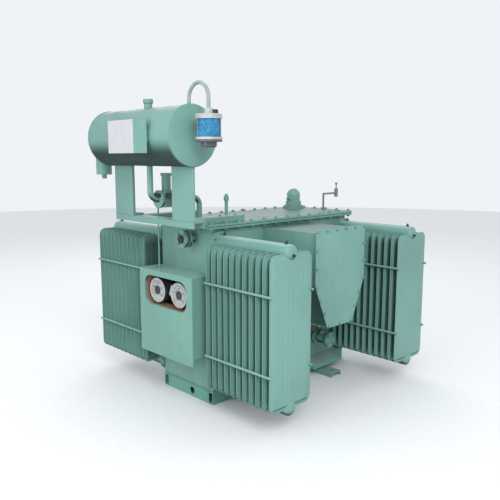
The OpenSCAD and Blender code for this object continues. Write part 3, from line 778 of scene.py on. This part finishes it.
class TRANSFORMER_OT_radiators(bpy.types.Operator):
    """Make the four radiators from rows of pressed panels"""

    bl_idname = "transformer.radiators"
    bl_label = "Radiators"

    def execute(self, context):
        sizes = context.scene.transformer_sizes
        tree = row_tree()
        brace_start = 0.012
        for node in RADIATORS:
            low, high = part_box(node)
            side, mid_x, wall, far, bottom, top = radiator_place(node)
            first = far - PANEL_END - (sizes.panel_count - 1) * sizes.panel_pitch
            start = Vector((mid_x, side * first, (bottom + top) / 2))
            panel = panel_shape(sizes, top - bottom).mesh("panel", math.radians(30))
            row = grown(panel, tree, "radiator_paint", {
                "Count": sizes.panel_count, "Start": start, "Step": (0.0, side * sizes.panel_pitch, 0.0)})
            fixed = []
            for level in (bottom, top):
                fixed.append(self.header(sizes, far - wall).placed(
                    turned_to(side * Y, Vector((mid_x, side * wall, level)))))
            for rise in BRACE_LEVELS:
                level = bottom + rise
                for edge in (low.x + sizes.brace / 2, high.x - sizes.brace / 2):
                    ends = [(edge, side * (first - brace_start), level), (edge, side * far, level)]
                    fixed.append(tube(ends, sizes.brace / 2))
            piece(node + "_panels", "radiator_paint", [row, joined(fixed)], [node])
        return {"FINISHED"}

    @staticmethod
    def header(sizes, length):
        """A header pipe with its pair of flanges at the wall and a domed end."""
        pipe, flange, thick = sizes.header / 2, sizes.flange / 2, sizes.flange_thick
        cut, joint, weld, dome = 0.001, 0.002, 0.004, 0.02
        back = 2 * thick + joint
        profile = [(0.0, 0.0), (flange - cut, 0.0), (flange, cut), (flange, thick - cut),
                   (flange - joint, thick), (flange - joint, thick + 0.0025), (flange, thick + 0.0035),
                   (flange, back - cut), (flange - cut, back), (pipe + weld, back), (pipe, back + weld),
                   (pipe, length - dome)]
        for angle in (15, 30, 45, 60, 75):
            turn = math.radians(angle)
            profile.append((pipe * math.cos(turn), length - dome + dome * math.sin(turn)))
        return lathe(profile + [(0.0, length)], 48)


class TRANSFORMER_OT_fasteners(bpy.types.Operator):
    """Put the bolts on the cover, cable box, flanges and fittings"""

    bl_idname = "transformer.fasteners"
    bl_label = "Fasteners"

    def execute(self, context):
        sizes = context.scene.transformer_sizes
        tree = bolt_tree()
        groups = {
            "cover_bolts": (self.cover(sizes), sizes.cover_bolt, "tank_paint"),
            "cable_box_bolts": (self.cable_box(), sizes.small_bolt, "tank_paint"),
            "flange_bolts": (self.headers(sizes), sizes.small_bolt, "radiator_paint"),
            "fitting_bolts": (self.fittings(), sizes.small_bolt, "conservator_paint"),
        }
        for seed, (name, (places, flats, slot)) in enumerate(groups.items()):
            mesh = grown(spots(places), tree, "bolt_paint", {"Flats": flats, "Seed": seed + 3})
            piece(name, "bolt_paint", [mesh])
        return {"FINISHED"}

    @staticmethod
    def cover(sizes):
        """Bolts round the cover's rim, with nuts under it, and none under the arms."""
        low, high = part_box("tank_cover")
        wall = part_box("tank_bottom")[1]
        rim_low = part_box("tank_front_wall")[1].z - (high.z - low.z)
        mid_x, mid_y = (high.x + wall.x) / 2, (high.y + wall.y) / 2
        arm_low, arm_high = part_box("arm_far")
        clear = 0.02
        places = []
        for level, way in ((high.z, Z), (rim_low, -Z)):
            for side in (-1, 1):
                edge_x, edge_y = side * mid_x, side * mid_y
                places += line_of((-mid_x, edge_y, level), (mid_x, edge_y, level), sizes.cover_pitch, way)
                ends = line_of((edge_x, -mid_y, level), (edge_x, mid_y, level), sizes.cover_pitch, way, False)
                for spot, facing in ends:
                    covered = arm_low.y - clear < abs(spot.y) < arm_high.y + clear
                    if not (covered and side < 0 and way is Z):
                        places.append((spot, facing))
        return places

    @staticmethod
    def cable_box():
        """Bolts round the cable box's front cover and under its gland plate."""
        low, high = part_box("cable_box_cover")
        inset, foot, pitch = 0.011, 0.12, 0.095
        wide, narrow = high.x - inset, foot - inset
        bottom, top = low.z + inset, high.z - inset
        path = [(-narrow, bottom), (-wide, CABLE_KNEE), (-wide, top), (wide, top), (wide, CABLE_KNEE),
                (narrow, bottom), (-narrow, bottom)]
        corners = [(across, low.y, level) for across, level in path]
        places = []
        for first, second in zip(corners, corners[1:]):
            places += line_of(first, second, pitch, -Y)[:-1]
        low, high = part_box("gland_plate")
        side_inset, end_inset, plate_pitch = 0.016, 0.02, 0.11
        for edge in (low.x + side_inset, high.x - side_inset):
            ends = [(edge, low.y + end_inset, low.z), (edge, high.y - end_inset, low.z)]
            places += line_of(*ends, plate_pitch, -Z)
        return places

    @staticmethod
    def headers(sizes):
        """Bolts through the header flanges."""
        joint, inset = 0.002, 0.0075
        places = []
        for node in RADIATORS:
            side, mid_x, wall, _, bottom, top = radiator_place(node)
            face = wall + 2 * sizes.flange_thick + joint
            for level in (bottom, top):
                centre = Vector((mid_x, side * face, level))
                places += ring_of(centre, side * Y, sizes.flange / 2 - inset, 6, 0.5)
        return places

    @staticmethod
    def fittings():
        """Bolts on the relief device, arms and valves."""
        low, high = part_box("relief_device")
        flange, flange_thick, inset = (high.y - low.y) / 2, 0.014, 0.012
        centre = Vector((high.x - flange, (low.y + high.y) / 2, low.z + flange_thick))
        places = ring_of(centre, Z, flange - inset, 8)
        for node in ("arm_near", "arm_far"):
            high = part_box(node)[1]
            for back in (0.04, 0.16):
                places.append((Vector((high.x - back, middle(node).y, high.z)), Z))
        valve_inset = 0.014
        low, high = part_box("filter_valve")
        mid = middle("filter_valve")
        flange = min(high.z - low.z, high.y - low.y) / 2
        places += ring_of(Vector((low.x, mid.y, mid.z)), -X, flange - valve_inset, 4, 0.5)
        low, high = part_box("drain_valve")
        flange = min(high.z - low.z, high.x - low.x) / 2
        centre = Vector((middle("drain_valve").x, low.y, low.z + flange))
        return places + ring_of(centre, -Y, flange - valve_inset, 4, 0.5)


class TRANSFORMER_OT_gauges(bpy.types.Operator):
    """Make the dials, needles and lining behind the gauge window, and black sheets of painted shade inside
    the box
    """

    bl_idname = "transformer.gauges"
    bl_label = "Gauges"

    def execute(self, context):
        tree = tick_tree()
        needles = {"oil_gauge": math.radians(128), "winding_gauge": math.radians(150)}
        outline = ((0.05, 0.0), (0.0, 0.004), (-0.018, 0.0), (0.0, -0.004))
        ink_level = Z * 0.0014
        faces = []
        inks = []
        bezels = []
        for node, turn in needles.items():
            low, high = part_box(node)
            mid = middle(node)
            centre = Vector((low.x, mid.y, mid.z))
            radius = (high.z - low.z) / 2
            placing = Matrix.Translation(centre) @ Matrix((-Y, Z, -X)).transposed().to_4x4()
            bezels.append(self.bezel(radius).placed(placing))
            faces.append(lathe(puck(radius - 0.009, 0.0, 0.0012, 0.0004)).placed(placing))
            for count, length in ((13, 0.009), (49, 0.005)):
                marks = grown(bpy.data.meshes.new("none"), tree, "dial_ink", {
                    "Count": count, "Radius": radius - 0.02, "Length": length,
                    "Start": math.radians(-45), "Sweep": math.radians(270)})
                marks.transform(placing @ Matrix.Translation(ink_level))
                inks.append(marks)
            for step in range(5):
                angle = math.radians(225 - 67.5 * step)
                number = lettering(str(30 * step), 0.016)
                spot = Vector((math.cos(angle), math.sin(angle), 0.0)) * (radius - 0.036)
                number.transform(placing @ Matrix.Translation(spot + ink_level))
                inks.append(number)
            pointer = hull([(along, across, level) for level in (0.003, 0.004) for along, across in outline])
            inks.append(pointer.placed(placing @ Matrix.Rotation(turn, 4, "Z")).mesh("needle"))
            inks.append(lathe(puck(0.027, 0.0, 0.006, 0.002)).placed(placing).mesh("hub"))
        piece("gauge_bezels", "cast_alloy", [joined(bezels)])
        piece("gauge_dials", "dial_pale", [joined(faces)])
        piece("gauge_marks", "dial_ink", inks)
        # Black sheets inside the case: painted shade in the box's interior.
        piece("gauge_box_painted_shade", "painted_shade_black", [self.lining()])
        piece("gauge_window_lining", "lining_brown", [self.window()])
        piece("gauge_tag", "dial_pale", [self.tag()])
        return {"FINISHED"}

    @staticmethod
    def bezel(radius):
        """The turned ring round a dial."""
        inner, thick = radius - 0.01, 0.006
        profile = [(inner, 0.0), (radius - 0.001, 0.0), (radius, 0.001), (radius, thick - 0.002),
                   (radius - 0.002, thick), (inner + 0.002, thick), (inner, thick - 0.002), (inner, 0.0)]
        return lathe(profile, 64)

    @staticmethod
    def window():
        """A short brown sleeve behind the door, round the window."""
        low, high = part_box("gauge_box_door")
        wide, tall, corner, level = 0.416, 0.182, 0.062, 0.4
        sheet, deep = 0.002, 0.075
        centre = Vector((high.x, 0.0, low.z + level))

        def ring(grow, along):
            spots = []
            for start, sign_y, sign_z in ((0, 1, 1), (90, -1, 1), (180, -1, -1), (270, 1, -1)):
                for step in range(9):
                    angle = math.radians(start + 90 * step / 8)
                    spots.append(centre + Vector((
                        along, sign_y * (wide / 2 - corner) + (corner + grow) * math.cos(angle),
                        sign_z * (tall / 2 - corner) + (corner + grow) * math.sin(angle))))
            return spots

        rings = [ring(0.0, 0.0), ring(0.0, deep), ring(sheet, deep), ring(sheet, 0.0), ring(0.0, 0.0)]
        count = len(rings[0])
        numbers = [range(row * count, (row + 1) * count) for row in range(len(rings))]
        return Shape([point for spots in rings for point in spots], skin(numbers))

    @staticmethod
    def tag():
        """A bare slanted tag on the wall between the gauges."""
        spot = Vector((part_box("oil_gauge")[0].x + 0.02, 0.0, middle("oil_gauge").z + 0.01))
        lean = Matrix.Translation(spot) @ Matrix.Rotation(0.35, 4, "X")
        return bar((0.0, -0.011, -0.034), (0.002, 0.011, 0.034), 0.0005).placed(lean)

    @staticmethod
    def lining():
        """Thin black sheets inside the gauge box's case: painted shade in its interior."""
        low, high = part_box("gauge_box_case")
        wall, sheet, front = 0.0035, 0.0015, low.x + 0.001
        low = low + Vector((0, wall, wall))
        high = high - Vector((wall, wall, wall))
        sheets = []
        for axis, upper in ((1, False), (1, True), (2, False), (2, True), (0, True)):
            start, end = [front, low.y, low.z], [high.x, high.y, high.z]
            if upper:
                start[axis] = end[axis] - sheet
            else:
                end[axis] = start[axis] + sheet
            sheets.append(bar(start, end, 0.0003))
        return joined(sheets)


class TRANSFORMER_OT_breather(bpy.types.Operator):
    """Make the breather's turned cap and cup, tie rods and gel beads"""

    bl_idname = "transformer.breather"
    bl_label = "Breather"

    def execute(self, context):
        cap_low, cap_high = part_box("breather_cap")
        cup_low, cup_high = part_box("breather_cup")
        mid = middle("breather_glass")
        axis = Vector((mid.x, mid.y, 0.0))
        radius = (cap_high.y - cap_low.y) / 2
        disc, neck, skirt, clearance = 0.012, 0.024, 0.012, 0.0003
        glass_low, glass_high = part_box("breather_glass")
        bore = (glass_high.y - glass_low.y) / 2 + clearance
        shoulder = cap_low.z + disc
        cap = [(0.0, cap_low.z), (bore, cap_low.z), (bore, cap_low.z - skirt), (radius, cap_low.z - skirt)]
        cap += puck(radius, cap_low.z, shoulder, 0.003)[8:-1]
        cap += [(neck + 0.004, shoulder), (neck, shoulder + 0.004), (neck, cap_high.z - 0.002),
                (neck - 0.002, cap_high.z), (0.0, cap_high.z)]
        ring = [(bore, cup_high.z), (radius, cup_high.z), (radius, cup_high.z + skirt),
                (bore, cup_high.z + skirt), (bore, cup_high.z)]
        piece("breather_cap_turned", "cast_alloy",
              [(lathe(cap, 56) + lathe(ring, 56)).placed(Matrix.Translation(axis))], ["breather_cap"])
        plug = puck(0.013, 0.0, 0.022, 0.004)
        spot = axis + Vector((0.025, -0.024, shoulder))
        piece("breather_plug", "rubber", [lathe(plug, 24).placed(Matrix.Translation(spot))])
        bowl = radius * 0.6
        cup = [(0.0, cup_low.z)] + arc(bowl - 0.012, cup_low.z + 0.012, 0.012, -90, 0)
        cup += [(bowl, cup_high.z - disc)] + puck(radius, cup_high.z - disc, cup_high.z, 0.003)[1:]
        piece("breather_cup_turned", "dark_cup",
              [lathe(cup, 56).placed(Matrix.Translation(axis))], ["breather_cup"])
        rods = []
        for spot, _ in ring_of(axis + Z * cup_high.z, Z, radius - 0.0025, 3, 0.95):
            rods.append(tube([spot - Z * disc, spot + Z * (cap_low.z - cup_high.z + disc)], 0.0022, 8))
        piece("breather_rods", "tap_steel", rods)
        gel = frame["nodes"]["breather_gel"].data.copy()
        gel.materials.clear()
        beads = grown(gel, bead_tree(), "blue_gel", {"Radius": 0.0036, "Density": 15000.0, "Seed": 7})
        piece("breather_beads", "blue_gel", [beads], ["breather_gel"])
        return {"FINISHED"}


class TRANSFORMER_OT_label(bpy.types.Operator):
    """Fix the bare white sheet on the conservator's label plate"""

    bl_idname = "transformer.label"
    bl_label = "Label"

    def execute(self, context):
        low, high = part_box("label_plate")
        sheet_start, thick = -0.112, 0.0012
        sheet = bar((low.x - thick, sheet_start, low.z), (low.x, high.y, high.z), 0.0004)
        piece("label_sheet", "label_white", [sheet])
        return {"FINISHED"}


class TRANSFORMER_OT_fittings(bpy.types.Operator):
    """Add the weld beads, gasket, posts, plugs, conduit and terminal box"""

    bl_idname = "transformer.fittings"
    bl_label = "Posts, Welds and Plugs"

    def execute(self, context):
        bead = grown(self.welds(), weld_tree(), "bolt_paint", {"Radius": 0.0032, "Ripple": 0.007})
        piece("weld_beads", "tank_paint", [bead])
        low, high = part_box("tank_cover")
        thick, bulge = 0.002, 0.0006
        gasket = bar((low.x - bulge, low.y - bulge, low.z - thick),
                     (high.x + bulge, high.y + bulge, low.z + thick / 2), 0.0002)
        piece("cover_gasket", "rubber", [gasket])
        for node in ("post_near", "post_far"):
            piece(node + "_section", "conservator_paint", [self.post(node)], [node])
        piece("header_plugs", "rubber", [self.plugs()])
        piece("gauge_conduit", "conservator_paint", [self.conduit()])
        piece("relay_terminals", "rubber", [self.terminal_box()])
        mid = middle("filter_valve")
        face = Vector((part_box("filter_valve")[0].x, mid.y, mid.z))
        hub = lathe(puck(0.024, 0.0, 0.012, 0.003)).placed(turned_to(-X, face))
        piece("filter_valve_hub", "rubber", [hub])
        return {"FINISHED"}

    @staticmethod
    def post(node):
        """A post of T section: a front plate, a rib cut to the conservator and a foot plate."""
        low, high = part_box(node)
        shell_low, shell_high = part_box("conservator_shell")
        axis = middle("conservator_shell")
        radius = (shell_high.z - shell_low.z) / 2 - 0.001
        plate, mid = 0.012, (low.y + high.y) / 2

        def under_shell(along):
            return axis.z - math.sqrt(radius * radius - (along - axis.x) ** 2)

        top = min(under_shell(low.x), under_shell(low.x + plate))
        front = bar((low.x, low.y, low.z), (low.x + plate, high.y, top), 0.001)
        stops = [low.x + plate + (high.x - low.x - plate) * step / 8 for step in range(9)]
        outline = [(stop, under_shell(stop)) for stop in stops] + [(high.x, low.z), (low.x + plate, low.z)]
        points = [(along, mid + side * plate / 2, level) for side in (-1, 1) for along, level in outline]
        count = len(outline)
        faces = [tuple(range(count)), tuple(range(2 * count - 1, count - 1, -1))]
        faces += skin([range(count), range(count, 2 * count)])
        foot = bar((low.x + plate, low.y, low.z), (high.x, high.y, low.z + plate), 0.001)
        return front + Shape(points, faces) + foot

    @staticmethod
    def plugs():
        """Air plugs on the upper headers, and end plugs in their domes."""
        sizes = bpy.context.scene.transformer_sizes
        stem = [(0.0, 0.0), (0.011, 0.0), (0.011, 0.006), (0.006, 0.008), (0.006, 0.018), (0.0, 0.018)]
        sunk = 0.002
        made = []
        for node in RADIATORS:
            side, mid_x, wall, far, _, top = radiator_place(node)
            crown = top + sizes.header / 2 - sunk
            for along in (wall + 0.06, far - 0.05):
                made.append(lathe(stem, 16).placed(Matrix.Translation((mid_x, side * along, crown))))
            end = Vector((mid_x, side * (far - 0.006), top - 0.012))
            made.append(lathe(stem, 6).placed(turned_to(side * Y, end)))
        return joined(made)

    @staticmethod
    def conduit():
        """The thin conduit from the gas relay down to the gauge box."""
        low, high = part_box("gas_relay")
        box_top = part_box("gauge_box_case")[1].z
        radius, bend_drop, off_wall, off_middle = 0.005, 0.05, 0.07, 0.135
        level = low.z + 0.03
        drop = Vector((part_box("tank_left_end")[0].x - off_wall, off_middle, level))
        start = Vector((middle("gas_relay").x, high.y - 0.01, level))
        bend = [start, start + Y * 0.03]
        for step in range(1, 7):
            angle = math.radians(15 * step)
            bend.append(bend[1].lerp(drop, math.sin(angle)) - Z * bend_drop * (1 - math.cos(angle)))
        return tube(bend + [Vector((drop.x, drop.y, box_top - 0.002))], radius, 10)

    @staticmethod
    def terminal_box():
        """The dark terminal box and gland on the gas relay."""
        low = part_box("gas_relay")[0]
        mid = middle("gas_relay")
        level, gland_y = low.z + 0.075, low.y - 0.035
        case = bar((mid.x - 0.04, low.y - 0.05, level - 0.012), (mid.x + 0.04, low.y + 0.012, level + 0.014),
                   0.003)
        wing = bar((low.x - 0.025, mid.y - 0.03, level - 0.008), (low.x + 0.02, mid.y + 0.03, level + 0.01),
                   0.003)
        gland = tube([(mid.x, gland_y, level - 0.01), (mid.x, gland_y, level - 0.06)], 0.012, 12)
        return case + wing + gland

    @staticmethod
    def welds():
        """Paths of the seams on the conservator, base and cable box."""
        low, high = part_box("conservator_shell")
        mid = middle("conservator_shell")
        radius = (high.z - low.z) / 2 + 0.0005
        paths = [hoop(Vector((mid.x, end, mid.z)), Y, radius) for end in (low.y, high.y)]
        low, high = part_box("tank_bottom")
        for side in (-1, 1):
            edge_x, edge_y = side * high.x, side * high.y
            paths.append([(low.x, edge_y, high.z), (high.x, edge_y, high.z)])
            paths.append([(edge_x, low.y, high.z), (edge_x, high.y, high.z)])
        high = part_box("cable_box")[1]
        for side in (-1, 1):
            edge_x = side * high.x
            paths.append([(edge_x, high.y, high.z), (edge_x, high.y, CABLE_KNEE)])
        paths.append([(-high.x, high.y, high.z), (high.x, high.y, high.z)])
        return path_mesh(*paths)


def area_light(name, place, target, size, energy):
    """A square soft light aimed at a point."""
    lamp = bpy.data.lights.new(name, "AREA")
    lamp.size = size
    lamp.energy = energy
    obj = bpy.data.objects.new(name, lamp)
    obj.location = place
    obj.rotation_euler = (Vector(target) - Vector(place)).to_track_quat("-Z", "Y").to_euler()
    bpy.context.scene.collection.objects.link(obj)


class TRANSFORMER_OT_stage(bpy.types.Operator):
    """Set out the floor, soft lights and camera"""

    bl_idname = "transformer.stage"
    bl_label = "Stage"

    def execute(self, context):
        stage = context.scene.transformer_stage
        floor_radius = 14.0
        mesh = lathe([(0.0, 0.0), (floor_radius, 0.0)], 96).mesh("floor")
        mesh.materials.append(plain("floor_pale", (0.8, 0.81, 0.81), 0.9, mottle=0.01))
        mesh.transform(Matrix.Translation((0, 0, -0.0005)))
        if mesh.polygons[0].normal.z < 0:
            mesh.flip_normals()
        floor = bpy.data.objects.new("floor", mesh)
        context.scene.collection.objects.link(floor)
        world = bpy.data.worlds.new("even_light")
        world.use_nodes = True
        world.node_tree.nodes.clear()
        graph = Graph(world.node_tree)
        sky = graph.node("ShaderNodeBackground", {}, {"Color": stage.sky, "Strength": 0.93})
        graph.node("ShaderNodeOutputWorld", {}, {"Surface": sky})
        context.scene.world = world
        target = (0.0, 0.0, 0.8)
        for name, (place, size, energy) in LAMPS.items():
            area_light(name, place, target, size, energy)
        context.scene.view_settings.view_transform = "Standard"
        camera = bpy.data.cameras.new("camera")
        camera.lens = stage.lens
        camera.sensor_width = 36.0
        camera.clip_end = 100.0
        view = bpy.data.objects.new("camera", camera)
        view.location = stage.position
        view.rotation_euler = (math.pi / 2 - stage.pitch, 0.0, -stage.yaw)
        context.scene.collection.objects.link(view)
        context.scene.camera = view
        return {"FINISHED"}


OPERATORS = (TRANSFORMER_OT_paint, TRANSFORMER_OT_radiators, TRANSFORMER_OT_fasteners, TRANSFORMER_OT_gauges,
             TRANSFORMER_OT_breather, TRANSFORMER_OT_label, TRANSFORMER_OT_fittings, TRANSFORMER_OT_stage)


class TRANSFORMER_PT_pieces(bpy.types.Panel):
    """Buttons for the pieces and the stage"""

    bl_idname = "TRANSFORMER_PT_pieces"
    bl_label = "Earthing Transformer"
    bl_space_type = "VIEW_3D"
    bl_region_type = "UI"
    bl_category = "Transformer"

    def draw(self, context):
        for operator in OPERATORS:
            self.layout.operator(operator.bl_idname)


SETTINGS = {"transformer_paint": TransformerPaint, "transformer_sizes": TransformerSizes,
            "transformer_stage": TransformerStage}


def register():
    for group in SETTINGS.values():
        bpy.utils.register_class(group)
    for made in OPERATORS + (TRANSFORMER_PT_pieces,):
        bpy.utils.register_class(made)
    for name, group in SETTINGS.items():
        setattr(bpy.types.Scene, name, PointerProperty(type=group))


def unregister():
    for name in SETTINGS:
        delattr(bpy.types.Scene, name)
    for made in reversed(OPERATORS + (TRANSFORMER_PT_pieces,)):
        bpy.utils.unregister_class(made)
    for group in SETTINGS.values():
        bpy.utils.unregister_class(group)


def main():
    register()
    bpy.ops.transformer.paint()
    bpy.ops.transformer.radiators()
    bpy.ops.transformer.fasteners()
    bpy.ops.transformer.gauges()
    bpy.ops.transformer.breather()
    bpy.ops.transformer.label()
    bpy.ops.transformer.fittings()
    bpy.ops.transformer.stage()
    bpy.context.view_layer.update()


if __name__ == "__main__":
    main()
